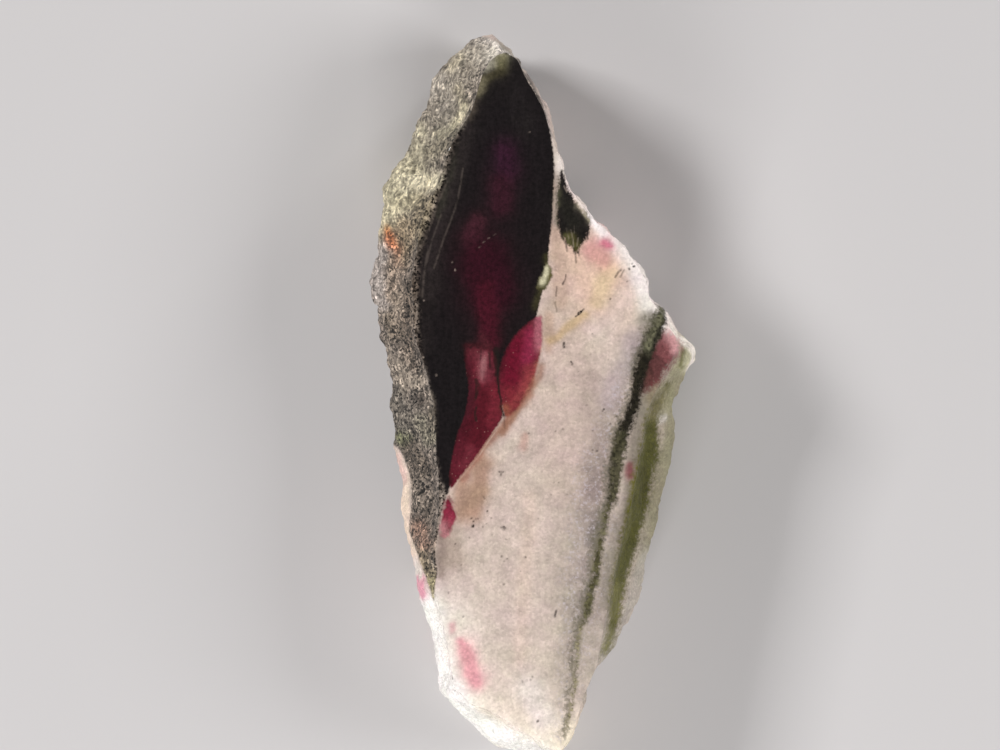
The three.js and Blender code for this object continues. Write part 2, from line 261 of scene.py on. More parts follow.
# Colour strokes, each over those before it: (points, half width, colour, strength).
# The pale feldspar rock, with painted light and highlights on its foot, right shoulder and rims.
PALE_STROKES = [
    ([(2.4, 5.8), (2.9, -6.7)], 2.5, "#c8b0a4", 0.5),
    ([(1.5, 7), (1.4, 4.2)], 0.42, "#b59684", 0.7),
    ([(-1, -8.3), (-1.3, -15)], 2.17, "#cfbcb0", 0.6),
    ([(-0.1, -8.3), (-0.6, -15), (-1, -21.7)], 0.58, "#d8bfae", 0.4),
    # Painted light: these three strokes make the foot and the lower left side near white, the pale rock with
    # a glow of light from below painted into it.
    ([(-6.8, -19.2), (-5.8, -22.9), (-4.3, -28.3)], 2.17, "#e9dccf", 0.9),
    ([(-4.3, -28.8), (2.4, -29.3)], 3, "#fdecd2", 0.95),
    ([(-8.9, -17.5), (-7.6, -23.3), (-5.1, -27.3), (0.7, -30)], 1.33, "#fffbf5", 0.98),
    ([(-7, -11.7), (-6.6, -13.3)], 1.17, "#ab978a", 0.75),
    ([(-7.5, -11.2), (-7.5, -14.6)], 0.42, "#8f7d74", 0.8),
    ([(-0.1, -24.2), (1, -26.7)], 1.17, "#e8dbd2", 0.85),
    ([(2.9, -10), (2.4, -16.7)], 1.25, "#b8a99c", 0.7),
    ([(3.4, -16.7), (2.9, -23.3)], 1.17, "#b8ab9c", 0.7),
    ([(4.9, 1.7), (5.4, -3.3), (5, -8.3)], 1.17, "#b09d93", 0.7),
    ([(3.6, 15.4), (5, 11.5), (6.2, 9.2)], 2.83, "#e2bfab", 0.9),
    # Painted light: the upper right shoulder is painted near white, brighter than its pale rock, as lit from
    # above.
    ([(6.7, 14.5), (9, 11.5), (9.9, 8.3), (11.4, 6.5)], 1.17, "#f6ece6", 0.95),
    ([(5.7, 5.8), (7.4, 8.3)], 1.17, "#dccabf", 0.6),
    ([(1.9, 17.5), (1.8, 15.4), (2.4, 11.5), (2.4, 8.3)], 0.67, "#bfa492", 0.85),
    ([(2.1, 20.7), (2.1, 19), (2, 16.7), (2, 14.8)], 0.33, "#9d8f84", 0.85),
    ([(1.7, 5), (3.6, 6.5), (4.5, 7)], 0.38, "#c3a67c", 0.75),
    ([(5.6, 8.3), (6.4, 10.8)], 0.83, "#dbc19b", 0.7),
    ([(9.7, 6.8), (9.1, 5.2), (8.2, 2.7)], 0.58, "#8f877c", 0.8),
    ([(-4.1, -5.3), (-4.4, -7.2), (-5, -9.3)], 0.92, "#a78570", 0.9),
    ([(-5.8, -7.3), (-6.1, -9.5)], 0.83, "#ad8b76", 0.85),
    ([(-0.6, -3), (-0.7, -4)], 0.33, "#bb9288", 0.7),
    ([(-2.2, -1.9), (-3.1, -2.9), (-4, -4.1), (-4.8, -5.2), (-5.8, -6.5)], 0.38, "#9d6c5b", 0.8),
    ([(0.1, 1.3), (-0.2, 0.5), (-1, -0.4), (-2, -1.6)], 0.33, "#9a6653", 0.8),
    ([(-1, -0.7), (-1.8, -1.7), (-2.5, -2.7)], 0.33, "#99705a", 0.85),
    ([(0.7, 2.8), (0.2, 1), (-0.6, -0.3)], 0.33, "#a37765", 0.75),
    ([(9.4, 0.2), (8.8, -4.2), (8.3, -8.3), (7.2, -13), (6.4, -16.7), (6, -18.3)], 0.75, "#8d8276", 1),
    ([(10, 0.7), (9.5, -1.2)], 0.5, "#8f8578", 0.7),
    ([(7, -10.7), (6.3, -14.3), (5.9, -17)], 0.5, "#968b7f", 0.8),
    ([(5.9, -18.2), (5.2, -21.3), (4.7, -25)], 0.75, "#b3a599", 0.8),
    ([(8.2, 4.8), (7.4, 2.5), (6.4, -0.2)], 0.75, "#b5a4a2", 0.75),
    ([(5.2, -10.2), (5, -11.7)], 0.58, "#8f847b", 0.7),
    ([(10.6, 1.3), (10, 0)], 0.5, "#84765f", 0.8),
    ([(13.2, 4.6), (12, 0.4), (12, -3.3), (11, -7.5), (10.3, -11.7), (9.7, -14.3)], 1.08, "#948d71", 0.95),
    ([(11.4, 0.7), (10.9, -1)], 0.58, "#a09b78", 0.7),
    ([(10.5, -1.7), (11.2, -1.6)], 0.33, "#d9d2c6", 0.8),
    ([(9.7, -13.3), (9, -15.8), (7.9, -18.8), (6.4, -21.7)], 0.75, "#b9afa3", 0.9),
    ([(13.4, 4.2), (13, 2.9)], 0.67, "#cdc6a4", 0.95),
    ([(12.8, 4.3), (12.6, 2.8)], 0.2, "#6a6836", 0.9),
    ([(11.4, 6.8), (11.9, 5.8)], 0.38, "#f0dcd4", 0.85),
    # A painted glow along the right rim: near white, for light shining through its thin edge.
    ([
        (10, 8.2), (11.3, 7), (12.2, 5.2), (13.1, 4.8), (13.7, 4), (13.6, 3.1), (13.2, 2.5),
    ], 0.22, "#fff4ea", 0.95),
    ([(-2.8, 30), (-1.6, 29.3), (-0.8, 28.3)], 0.42, "#a79d90", 0.95),
    ([(-0.3, 27.3), (0.8, 24.8)], 0.29, "#6d6360", 0.9),
    ([(1.1, 24), (1.7, 22)], 0.29, "#a89a94", 0.9),
    ([(1.9, 21.5), (2.4, 19.5)], 0.33, "#d9c8be", 0.8),
    ([(2.4, 20), (3.4, 17.8), (5, 15.5)], 0.5, "#f0e4dc", 0.8),
    ([(5.2, 12.5), (5.9, 11.8)], 0.75, "#d39a90", 0.75),
    ([(4.7, 12.8), (5.2, 13.3)], 0.58, "#d9a09c", 0.6),
    # A painted highlight on the rim edge right of the black patch.
    ([(4.9, 15.3), (5.5, 14.7), (6, 13.9)], 0.5, "#fff6f2", 0.95),
    ([(6, 15.3), (6.9, 14)], 0.33, "#f1ccc8", 0.8),
    ([(6.1, 13.2), (6.5, 12.9)], 0.46, "#cf6c84", 0.9),
    ([(-5.5, -20.8), (-5, -22), (-4.5, -23.3)], 1, "#e9c5bd", 0.6),
    ([(-5.9, -20.1), (-5.7, -20.3)], 0.28, "#d98d9a", 0.8),
    ([(-5.6, -21), (-5, -22.3), (-4.6, -23.5)], 0.67, "#e5a0a6", 0.9),
    ([(-6.5, -18.7), (-6.4, -19.2)], 0.23, "#e0a8ab", 0.7),
    ([(-9.3, -15.2), (-9.2, -16.2)], 0.5, "#eb9fb2", 0.95),
    ([(-9.6, -14.6), (-10, -13.3)], 0.33, "#f6ece2", 0.8),
    ([(-11.3, -5.2), (-10.8, -7.5), (-10.9, -10), (-10.1, -13)], 0.58, "#f3dac6", 0.95),
    ([(-11.2, -5.2), (-11, -6.7)], 0.42, "#e4bfb6", 0.8),
    ([(8.1, -5.7), (8.2, -6.4)], 0.33, "#7d4348", 0.85),
]
# The black rock where polished, with the purple and crimson that glow inside it, and a painted sheen.
BLACK_STROKES = [
    ([(-4, 28.3), (-2.6, 29)], 0.5, "#b3aca0", 0.95),
    ([(-3.7, 27.7), (-3, 28.2)], 0.38, "#9a9484", 0.9),
    ([(-2.5, 28.5), (-2.6, 27.7)], 0.38, "#6b664a", 0.85),
    ([(-4, 26.7), (-2.6, 27.3)], 0.42, "#3b3626", 0.9),
    ([(-4.2, 26.5), (-4.5, 25.6)], 0.38, "#6a634f", 0.9),
    ([(-4.8, 24.7), (-5.1, 23.7)], 0.33, "#4a423a", 0.8),
    ([(-5.5, 22.5), (-6.6, 18.8), (-7.4, 15.4), (-8.2, 12.5), (-8.6, 9.3)], 0.75, "#2c2625", 0.65),
    ([(-8.6, 9.3), (-9, 4.6)], 0.67, "#231e1d", 0.5),
    ([(-6.4, 21.2), (-6.9, 18.3), (-7.8, 15.4)], 0.33, "#34322a", 0.6),
    ([(-1, 25.4), (-0.6, 22.5)], 1, "#1e1a1a", 0.7),
    ([(-2.2, 20.8), (-2.1, 19)], 0.92, "#321526", 0.85),
    ([(-2.5, 17.9), (-2.6, 16.2)], 0.92, "#351520", 0.8),
    ([(-4.5, 14.8), (-5.1, 13.7)], 0.67, "#421f28", 0.75),
    ([(-4.1, 11.8), (-3.5, 9.2)], 1.92, "#300a17", 0.87),
    ([(-3.7, 9.2), (-3.5, 5)], 0.83, "#400f1c", 0.9),
    ([(-2.6, 11.5), (-2.3, 8.7)], 0.75, "#2b0b16", 0.6),
    ([(-5.3, 4.4), (-3.6, 4.4)], 0.25, "#45191f", 0.8),
    ([(-4, 5.3), (-3.9, 4.5)], 0.33, "#4a1f25", 0.7),
    ([(0.8, 9), (0.5, 7.8)], 0.33, "#3b3723", 0.8),
    ([(1.3, 11.8), (1.2, 11.3)], 0.25, "#3c3920", 0.8),
    ([(3.2, 13.7), (3.9, 12.8)], 0.33, "#4f4b28", 0.8),
    ([(3, 13.7), (3.3, 13)], 0.18, "#504d30", 0.8),
    # A painted grey sheen on the polish along the black patch's right edge.
    ([(4, 16.3), (4.5, 15.8), (4.9, 15)], 0.27, "#938a76", 0.9),
    ([(5, 15.3), (5, 14.7)], 0.12, "#4c4834", 0.8),
    ([(2.1, 18.3), (2.1, 14.5)], 0.18, "#4c4a38", 0.8),
    ([(2.7, 16.7), (3.5, 14.7)], 0.58, "#211f1a", 0.8),
]
# The same rock where broken, with painted light on the tip's cap.
BROKEN_STROKES = [
    ([(-4.1, 29.8), (-2.2, 29.2)], 0.83, "#c6bdb6", 0.97),
    # The tip's whitish cap, partly its own colour, partly painted brighter for the light falling on it from
    # above.
    ([(-5.6, 28.8), (-4.5, 28.9), (-3.5, 28.8)], 0.58, "#fff6e6", 0.97),
    ([(-5.1, 29), (-7.6, 25.8), (-8.9, 22.5)], 1.67, "#9a9082", 0.9),
    ([(-6.8, 25.7), (-7.1, 23.3)], 0.92, "#999084", 0.8),
    ([(-6, 28.7), (-6.6, 28)], 0.5, "#bdb199", 0.85),
    ([(-7.5, 27.2), (-8.5, 25.7)], 0.42, "#b3a99c", 0.8),
    ([(-6.1, 26), (-5.8, 25)], 0.5, "#a59a84", 0.7),
    ([(-5.6, 24.6), (-5.9, 23.8), (-6.6, 23)], 0.38, "#d6cbad", 0.9),
    ([(-6.6, 22.5), (-7.8, 22.2)], 0.42, "#bdb49a", 0.8),
    ([(-9.4, 22.8), (-9.3, 22.3)], 0.5, "#cbc1a6", 0.8),
    ([(-7.3, 21.3), (-8.5, 20.8)], 0.75, "#746c5c", 0.8),
    ([(-9.5, 21.2), (-10, 20)], 0.75, "#b1a891", 0.85),
    ([(-10.6, 19), (-12, 17.1), (-12.1, 14.8)], 1.25, "#cdc3a5", 0.9),
    ([(-10.5, 18.3), (-8.1, 18.2)], 0.75, "#e0d5b8", 0.95),
    ([(-8.3, 16.7), (-7.6, 17.2)], 0.42, "#5b5245", 0.8),
    ([(-11, 16.5), (-9.6, 16.7)], 0.67, "#bdb294", 0.8),
    ([(-9, 16.2), (-9.5, 14)], 0.75, "#756a57", 0.85),
    ([(-10.6, 14.5), (-11.1, 12)], 0.83, "#8d7d66", 0.85),
    ([(-12.1, 14.2), (-12.1, 13.9)], 0.38, "#cf9e6a", 0.8),
    ([(-11.9, 13.7), (-11.7, 12.9)], 0.46, "#b4683c", 0.92),
    ([(-11.5, 12.5), (-11.4, 11.5)], 0.33, "#ab7150", 0.8),
    ([(-12.8, 12.3), (-13.2, 10.2), (-12.5, 8.3)], 0.75, "#aca19a", 0.9),
    ([(-11.5, 11.5), (-11.5, 9.8), (-11.8, 9)], 0.67, "#8f7e6f", 0.85),
    ([(-11, 8.7), (-11, 7.2)], 0.67, "#a09080", 0.9),
    ([(-12, 6.8), (-11.6, 5.8)], 0.58, "#74685a", 0.8),
    ([(-11, 6.5), (-11.3, 5.3)], 0.58, "#62574c", 0.85),
    ([
        (-6, 22), (-6.5, 19.8), (-7, 17.3), (-7.5, 15.4), (-8.2, 13.8), (-8.9, 12), (-9.1, 9.7),
        (-9, 6.7), (-9, 4.5), (-8.6, 3),
    ], 0.58, "#1f1917", 0.95),
    ([(-6.8, 18.2), (-7.6, 16.2), (-8.5, 14), (-9.2, 11.8), (-9.5, 9.5)], 0.42, "#3a322d", 0.85),
    ([(-10, 9.7), (-10.3, 8.3), (-10.3, 4.2)], 0.5, "#564b41", 0.85),
    ([(-12.3, 4.6), (-12, 3.2)], 0.58, "#82776c", 0.75),
    ([(-11.1, 2.8), (-10.8, 1.3), (-9.6, 1.7)], 0.67, "#978a7c", 0.92),
    ([(-10.5, 3.7), (-9.8, 2.8)], 0.5, "#6e6257", 0.8),
    ([(-11.6, 0.3), (-11, -2.5)], 1.08, "#655e55", 0.85),
    ([(-9.5, 0.2), (-9.1, -0.2)], 0.42, "#3d3631", 0.8),
    ([(-7.6, -3.3), (-7.5, -4.3)], 0.42, "#2a2422", 0.85),
    ([(-8.4, 0.7), (-8.2, -0.3)], 0.38, "#8a7e72", 0.85),
    ([(-8.3, -1), (-8.1, -3.3)], 0.38, "#5d5448", 0.8),
    ([(-11.1, -3.2), (-10.5, -3.5)], 0.5, "#5c6040", 0.7),
    ([(-9.3, -1.7), (-8.6, -3.3)], 0.58, "#7c7666", 0.7),
    ([(-10.1, -4.2), (-9, -5.8)], 0.83, "#4f463d", 0.85),
    ([(-9.8, -6.7), (-9.1, -10)], 1, "#655b51", 0.7),
    ([(-9.5, -10.8), (-9, -12)], 0.67, "#8a6c5c", 0.75),
    ([(-9, -13), (-8.5, -15)], 0.58, "#7a6d5a", 0.85),
    ([(-8.4, -15.3), (-8.1, -17.2)], 0.5, "#9b9170", 0.9),
]
# The eudialyte crystals and the red blotch.
CRYSTAL_STROKES = [
    ([(-5.2, 3.7), (-4.5, 3.7)], 0.58, "#5e252d", 0.8),
    ([(-5.7, 4.2), (-5.3, 1.2), (-5.5, -0.7), (-6.3, -2.5), (-6.8, -4.5), (-7, -7)], 0.25, "#22100f", 0.95),
    ([(-5.3, 3.3), (-5, 1), (-5.4, -1), (-6, -3), (-6.5, -5.2)], 0.33, "#47141f", 0.7),
    ([(-4, 3.7), (-4, 1.7)], 0.38, "#83454d", 0.9),
    ([(-3.9, 3.2), (-4, 2)], 0.21, "#a97577", 0.55),
    ([(-3.4, 3.2), (-3.5, 1.7)], 0.33, "#6a2b35", 0.8),
    ([(-5, 0.7), (-5.3, -1.2)], 0.42, "#421820", 0.8),
    ([(-4, 0.2), (-4.6, -3.3)], 0.75, "#4d121c", 0.9),
    ([(-5.1, -2), (-5.8, -3.8)], 0.42, "#43101a", 0.85),
    ([(-3.1, 0.7), (-3.4, -1.7)], 0.38, "#6b212c", 0.8),
    ([(-5.8, -4), (-6.2, -5.7)], 0.5, "#571a25", 0.8),
    ([(-5.1, -4.3), (-5.6, -5.5)], 0.33, "#6b2933", 0.7),
    ([(-5.7, 4.4), (-3.3, 4.3)], 0.29, "#481b22", 0.85),
    ([(-3.5, 4.1), (-3.4, 2.7)], 0.12, "#35131a", 0.6),
    ([(-3, 4.2), (-3, 2.2)], 0.18, "#2a1014", 0.8),
    ([(-2, 4.3), (-2.5, 2.7)], 0.33, "#43101a", 0.85),
    ([(-1.2, 4.5), (-1.6, 1.7)], 0.67, "#610d23", 0.9),
    ([(-0.1, 5.5), (-0.4, 3.3)], 0.5, "#852541", 0.85),
    ([(0.7, 6.9), (0.7, 4.2)], 0.38, "#ab6470", 0.85),
    ([(0.5, 3), (0.2, 1.7)], 0.25, "#9c5a50", 0.7),
    ([(-0.3, 2.5), (-0.6, 0.7)], 0.42, "#87353b", 0.8),
    ([(-1.8, 0.5), (-1.5, -0.3)], 0.58, "#7a2830", 0.8),
    ([(0.1, 2.3), (-0.5, 0.8), (-1.5, -0.3)], 0.25, "#8a3b3c", 0.7),
    ([(0.8, 4.2), (0.5, 2.3), (0.1, 1.2), (-0.5, 0.1), (-1.1, -0.8), (-1.9, -1.5)], 0.14, "#9c6754", 0.75),
    ([(-2.2, -0.7), (-2, -1.3)], 0.33, "#8a4f3e", 0.8),
    ([(-7, -9), (-6.9, -10.2)], 0.5, "#88293f", 0.9),
    ([(-7.4, -10.8), (-7, -11.4)], 0.5, "#b87f82", 0.8),
    ([(11.7, 5.2), (12.1, 4.5)], 0.67, "#cf9d9d", 0.9),
    ([(10.9, 4.3), (11, 3.2)], 0.75, "#7b494a", 0.9),
    ([(10.3, 3.3), (10.5, 2.2)], 0.67, "#593635", 0.9),
    ([(9.5, 2), (9.5, 0.8)], 0.67, "#5b3b36", 0.9),
    ([(8.9, 1), (9.5, 4), (10.3, 5.3)], 0.29, "#3c2f2a", 0.9),
]
# The small green crystal in the notch, then the dark vein and the olive band.
NOTCH_STROKES = [
    ([(1.1, 10.8), (0.9, 9.8)], 0.27, "#d6cfae", 0.95),
    ([(1.5, 11.5), (1.6, 10.7), (1.5, 9.9)], 0.22, "#57512f", 0.85),
]
VEIN_STROKES = [
    ([(10.9, 7.8), (10.3, 5.8), (9.7, 4.5)], 0.5, "#5a5845", 0.9),
    ([(11.4, 6.8), (10.7, 5.5), (9.9, 4)], 0.17, "#1c1a15", 0.85),
    ([(7.4, -3.3), (6.8, -8.8)], 0.58, "#4d4937", 0.9),
    ([(7.5, -3), (7, -4.7)], 0.21, "#2c2a1c", 0.8),
    ([(6.3, -9.4), (4.7, -17.7)], 0.75, "#615c47", 0.95),
    ([(6.5, -9), (6.2, -9.8)], 0.25, "#3d3a24", 0.85),
    ([(5.7, -11.7), (5.5, -14.2)], 0.28, "#444129", 0.85),
    ([(5.2, -14.5), (5, -15.3)], 0.29, "#3f3c26", 0.9),
    ([(4.8, -16.3), (4.5, -17.8)], 0.33, "#47442c", 0.85),
    ([(4.2, -19.5), (3.2, -27.5)], 0.75, "#857d62", 0.95),
    ([(3.7, -21.8), (3.7, -23.2)], 0.25, "#6a654c", 0.7),
]
OLIVE_STROKES = [
    ([(11.1, 0.7), (10.3, -1)], 0.67, "#776f4b", 0.9),
    ([(9.4, -5.8), (9.3, -8.8)], 0.42, "#474409", 0.85),
    ([(8.8, -4.3), (8.2, -8.3), (7.7, -12.1)], 0.33, "#5e5a2a", 0.7),
    ([(7.2, -15.8), (6.9, -17.7)], 0.67, "#716d3c", 0.9),
    ([(6.5, -19.8), (6, -21.7)], 0.67, "#827d55", 0.9),
]

# Where the broken grains reach over the rim onto the face: rows of (x, y, half width).
GRAINY_EDGE = [
    (-5.1, 25.7, 0.42), (-6.3, 22.7, 0.58), (-7.4, 20, 0.75), (-8.1, 17.5, 0.67), (-8.9, 15.7, 0.75),
    (-9.5, 13.8, 0.75), (-10.1, 11.5, 0.75), (-10.2, 8.3, 0.83), (-10.1, 4.6, 0.92), (-9.3, 1.2, 0.67),
    (-8.7, -0.3, 0.58), (-8.5, -2.5, 0.42), (-8.4, -4.2, 0.33), (-8, -6.5, 0.25), (-7.5, -8.3, 0.5),
    (-7.6, -10.8, 0.58), (-7.9, -13.3, 0.67), (-8, -17.2, 0.67),
]


# ---------------------------------------------------------------- small tools

def linear(colour):
    """Turns an sRGB hex colour into linear red, green, blue and full opacity."""
    channels = [int(colour[i:i + 2], 16) / 255 for i in (1, 3, 5)]
    curve = [c / 12.92 if c <= 0.04045 else ((c + 0.055) / 1.055) ** 2.4 for c in channels]
    return (*curve, 1.0)


def pick(thing):
    """Leaves only this object selected and active."""
    bpy.ops.object.select_all(action="DESELECT")
    thing.select_set(True)
    bpy.context.view_layer.objects.active = thing


def finish_with(thing, kind, **settings):
    """Adds a modifier with its settings and applies it."""
    pick(thing)
    modifier = thing.modifiers.new(kind.lower(), kind)
    for name, value in settings.items():
        setattr(modifier, name, value)
    bpy.ops.object.modifier_apply(modifier=modifier.name)


def corners_of(thing):
    """The mesh points of an object, in millimetres."""
    flat = np.empty(len(thing.data.vertices) * 3, np.float32)
    thing.data.vertices.foreach_get("co", flat)
    return flat.reshape(-1, 3).astype(float) / MM


def set_corners(thing, points):
    """Puts mesh points back, given in millimetres."""
    thing.data.vertices.foreach_set("co", (points * MM).astype(np.float32).ravel())
    thing.data.update()


def ramp(value, start, end):
    """Rises smoothly from 0 at start to 1 at end."""
    share = np.clip((value - start) / (end - start), 0, 1)
    return share * share * (3 - 2 * share)


def mark_group(thing, name, weights):
    """Stores weights as a vertex group, in equal steps."""
    group = thing.vertex_groups.new(name=name)
    steps = np.round(np.clip(weights, 0, 1) * GROUP_STEPS).astype(int)
    for step in range(1, GROUP_STEPS + 1):
        members = np.flatnonzero(steps == step).tolist()
        if members:
            group.add(members, step / GROUP_STEPS, "REPLACE")


def cloud_texture(name, width, detail):
    """Clouds of a width in millimetres, to push a surface in and out with."""
    texture = bpy.data.textures.new(name, "CLOUDS")
    texture.noise_scale = width * MM
    texture.noise_depth = detail
    return texture


def softened(outline):
    """Cuts the corners of an outline twice, so that it reads as a natural line."""
    points = np.array(outline, float)
    for _ in range(2):
        following = np.roll(points, -1, axis=0)
        points = np.stack([points * 0.75 + following * 0.25, points * 0.25 + following * 0.75], 1)
        points = points.reshape(-1, 2)
    return points


def depth_inside(plan, outline):
    """Distance from each plan point to an outline, positive inside it."""
    corners = softened(outline)
    nearest = np.full(len(plan), FAR)
    within = np.zeros(len(plan), bool)
    for start, end in zip(corners, np.roll(corners, -1, axis=0)):
        along = end - start
        share = np.clip((plan - start) @ along / (along @ along), 0, 1)
        gap = plan - start - share[:, None] * along
        nearest = np.minimum(nearest, np.hypot(gap[:, 0], gap[:, 1]))
        straddles = (start[1] > plan[:, 1]) != (end[1] > plan[:, 1])
        slope = along[0] / along[1] if along[1] else 0.0
        within ^= straddles & (plan[:, 0] < start[0] + (plan[:, 1] - start[1]) * slope)
    return np.where(within, nearest, -nearest)


def depth_in_path(plan, path):
    """How deep each plan point lies inside a band of varying half width, negative outside it."""
    deepest = np.full(len(plan), -FAR)
    rows = np.array(path, float)
    for start, end in zip(rows[:-1], rows[1:]):
        along = end[:2] - start[:2]
        share = np.clip((plan - start[:2]) @ along / (along @ along), 0, 1)
        gap = plan - start[:2] - share[:, None] * along
        half_width = start[2] + share * (end[2] - start[2])
        deepest = np.maximum(deepest, half_width - np.hypot(gap[:, 0], gap[:, 1]))
    return deepest


def painted(plan, base, strokes):
    """Base colour with soft strokes of other colours laid over it, one row per point."""
    tone = np.tile(linear(base), (len(plan), 1))
    for points, half_width, colour, strength in strokes:
        path = [(x, y, 0.0) for x, y in points]
        away = -depth_in_path(plan, path) / half_width
        cover = (strength / (1 + away ** 4))[:, None]
        tone = tone * (1 - cover) + np.array(linear(colour)) * cover
    return tone


def drawn(plan, marks):
    """Strength of fine lines and dots, 0 away from them."""
    strongest = np.zeros(len(plan))
    for points, half_width, strength in marks:
        path = [(x, y, half_width) for x, y in points]
        strongest = np.maximum(strongest, strength * ramp(depth_in_path(plan, path), -0.05, 0.06))
    return strongest


def store_number(thing, name, values):
    """Keeps one number for each mesh point, for the material to read."""
    layer = thing.data.attributes.new(name, "FLOAT", "POINT")
    layer.data.foreach_set("value", values.astype(np.float32))


def store_colour(thing, name, values):
    """Keeps one colour for each mesh point, for the material to read."""
    layer = thing.data.attributes.new(name, "FLOAT_COLOR", "POINT")
    layer.data.foreach_set("color", values.astype(np.float32).ravel())


def noise_at(points, size, seed):
    """Smooth noise of about -1 to 1, with features of the given size."""
    shift = np.array([seed * 17.3, seed * -9.1, seed * 5.7])
    return np.array([noise.noise(p) for p in (points / size + shift)])


# ---------------------------------------------------------------- the stone's shape

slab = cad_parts["eudialyte_slab"]
stone = bpy.data.objects.new("polished_stone", slab.data.copy())
bpy.context.scene.collection.objects.link(stone)
pick(stone)
bpy.ops.object.mode_set(mode="EDIT")
bpy.ops.mesh.select_all(action="SELECT")
bpy.ops.mesh.remove_doubles(threshold=0.001 * MM)
bpy.ops.object.mode_set(mode="OBJECT")
finish_with(stone, "REMESH", mode="VOXEL", voxel_size=MESH_STEP * MM)

# The sawn back and the polished face stay dead flat; everything between them is broken rock.
points = corners_of(stone)
points[points[:, 2] > THICKNESS - FLAT_BAND, 2] = THICKNESS
points[points[:, 2] < FLAT_BAND, 2] = 0
set_corners(stone, points)
below_face = THICKNESS - points[:, 2]
broken = ramp(below_face, 0, BROKEN_BAND) * ramp(points[:, 2], 0, BROKEN_BAND)
mark_group(stone, "broken", broken)
finish_with(stone, "SMOOTH", factor=0.5, iterations=6, vertex_group="broken")

# Which way the stone faces before it is roughened, for its own map.
smooth_lean = np.empty(len(stone.data.vertices) * 3, np.float32)
stone.data.vertices.foreach_get("normal", smooth_lean)
stone.data.attributes.new("lean", "FLOAT_VECTOR", "POINT").data.foreach_set("vector", smooth_lean)

# The dark side breaks into coarse lumps and grains, the pale side into smoother, sugary ones.
points = corners_of(stone)
coarse = ramp(-depth_inside(points[:, :2], DARK_ROCK), 0.4, -0.4)
mark_group(stone, "coarse", broken * coarse)
mark_group(stone, "sugary", broken * (1 - coarse))
lumps = cloud_texture("lumps", LUMP_WIDTH, 3)
grains = cloud_texture("grains", GRAIN_WIDTH, 2)
for texture, side, rise in [
    (lumps, "coarse", COARSE_LUMPS),
    (grains, "coarse", COARSE_GRAINS),
    (lumps, "sugary", SUGARY_LUMPS),
    (grains, "sugary", SUGARY_GRAINS),
]:
    finish_with(stone, "DISPLACE", texture=texture, texture_coords="LOCAL", strength=rise * MM,
                mid_level=0.5, vertex_group=side)

# The tip is trimmed at its right shoulder and drawn out at its peak, clear of the face.
points = corners_of(stone)
clear_of_face = ramp(below_face, 0, 2.5)
shoulder = ramp(points[:, 1], 27.8, 28.8) * ramp(points[:, 0], -3.3, -2.0) * clear_of_face
points[:, 0] -= SHOULDER_IN * shoulder
points[:, 1] -= SHOULDER_DOWN * shoulder
peak = ramp(points[:, 1], 28.4, 30.2) * ramp(points[:, 0], -2.2, -3.2) * clear_of_face
points[:, 1] += PEAK_UP * peak
rough = broken > 0
points[rough, 2] = np.clip(points[rough, 2], INSET, THICKNESS - INSET)
set_corners(stone, points)

# Finer mesh around the fine marks, so that each keeps its size. A speck is a very short dash.
specks = [([(x, y), (x + 0.01, y)], radius, strength) for x, y, radius, strength in SPECKS]
marks = specks + DARK_MARKS + PALE_MARKS
first_faces = stone.data.polygons
middles = np.empty(len(first_faces) * 3, np.float32)
first_faces.foreach_get("center", middles)
middles = middles.reshape(-1, 3) / MM
near_mark = drawn(middles[:, :2], [(path, width + MARK_MARGIN, 1) for path, width, _ in marks]) > 0.5
near_mark &= middles[:, 2] > THICKNESS - 0.01
bpy.context.tool_settings.mesh_select_mode = (False, False, True)
first_faces.foreach_set("select", near_mark)
pick(stone)
bpy.ops.object.mode_set(mode="EDIT")
bpy.ops.mesh.subdivide(number_cuts=2)
bpy.ops.object.mode_set(mode="OBJECT")
bpy.ops.object.shade_smooth_by_angle(angle=math.radians(40))


# ---------------------------------------------------------------- minerals, laid out in plan

# The layers dip through the stone, so low on its sides the plan slides and wanders.
points = corners_of(stone)
buried = np.clip(DIP_START - points[:, 2], 0, None)
wander = np.stack([noise_at(points, 5.0, 1), noise_at(points, 5.0, 2)], 1)
plan = points[:, :2] + buried[:, None] * (np.array(DIP) + DIP_WANDER * wander)

# The colour strokes follow a gently wandering plan, so that their soft edges look grown.
sway = np.stack([noise_at(points, 1.6, 3), noise_at(points, 1.6, 4)], 1)
flutter = np.stack([noise_at(points, 0.6, 5), noise_at(points, 0.6, 6)], 1)
grown = plan + 0.3 * sway + 0.14 * flutter
on_top = points[:, 2] > THICKNESS - 0.02

for name, outline in [
    ("dark_rock", DARK_ROCK),
    ("black_patch", BLACK_PATCH),
    ("notch_crystal", NOTCH_CRYSTAL),
    ("left_crystal", LEFT_CRYSTAL),
    ("right_crystal", RIGHT_CRYSTAL),
    ("small_crystal", SMALL_CRYSTAL),
    ("blotch", BLOTCH),
]:
    store_number(stone, name, depth_inside(plan, outline))
store_number(stone, "vein", depth_in_path(plan, VEIN))
store_number(stone, "vein_halo", depth_in_path(grown, VEIN_HALO))
fringe = [(x - FRINGE_LEFT, y + FRINGE_UP, half_width) for x, y, half_width in VEIN]
store_number(stone, "vein_fringe", depth_in_path(grown, fringe))
store_number(stone, "olive_band", depth_in_path(plan, OLIVE_BAND))
store_number(stone, "grainy", ramp(depth_in_path(plan, GRAINY_EDGE), -0.3, 0.3))
store_number(stone, "dark_marks", drawn(plan + 0.12 * flutter, specks + DARK_MARKS) * on_top)
store_number(stone, "pale_marks", drawn(plan, PALE_MARKS) * on_top)
